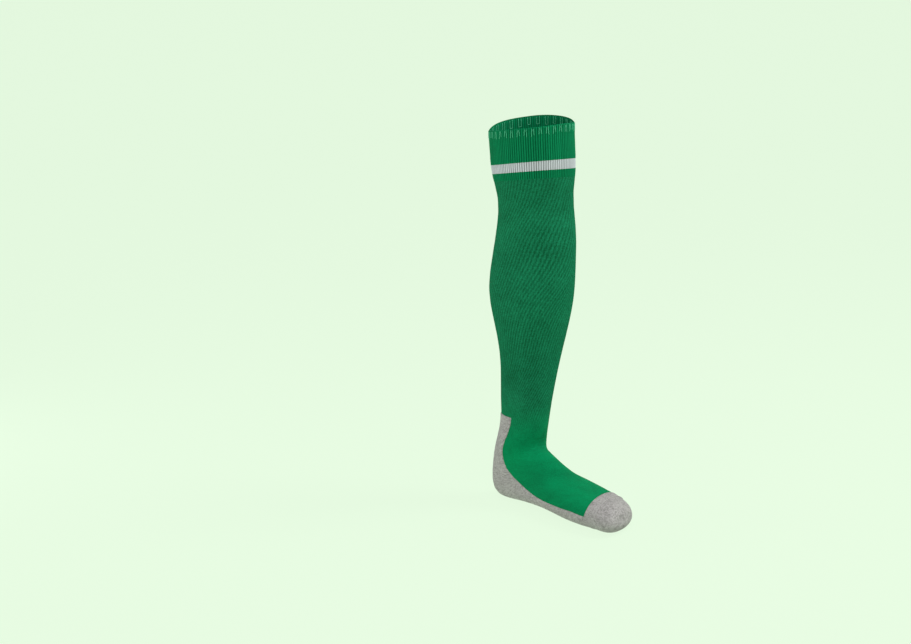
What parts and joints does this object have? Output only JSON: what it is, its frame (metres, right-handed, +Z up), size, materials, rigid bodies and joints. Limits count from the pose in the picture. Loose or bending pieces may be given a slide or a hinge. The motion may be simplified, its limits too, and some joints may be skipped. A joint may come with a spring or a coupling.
{
  "type": "sports sock",
  "caption": "Long knitted sports sock in the shape it has when worn: ribbed cuff with a pale band, plain leg, padded heel, sole and toe, open at the top.",
  "frame": {"origin": "centre of the leg opening, halfway between the front and the back of its top edge", "axes": "+Z up along the leg out of the opening, -Y to the toes, -X to the inner side of the leg"},
  "size_m": [0.1234, 0.2762, 0.5376],
  "materials": {
    "green_knit": "fine plain knit of matt polyester and cotton yarn, with a few lighter and darker stitches in each row",
    "green_rib": "upright one-and-one rib, with short pale tick marks in the turned top edge",
    "white_rib": "upright one-and-one rib, off-white, darker between the ribs",
    "grey_marl": "padded plain knit of speckled light and mid grey yarn",
    "grey_thread": "linked seam of light grey thread"
  },
  "bodies": {
    "root": {"welt": "green_rib", "cuff_upper": "green_rib", "cuff_stripe": "white_rib", "cuff_lower": "green_rib", "leg": "green_knit", "instep": "green_knit", "heel": "grey_marl", "sole": "grey_marl", "toe_cap": "grey_marl", "toe_seam": "grey_thread"}
  },
  "joints": []
}
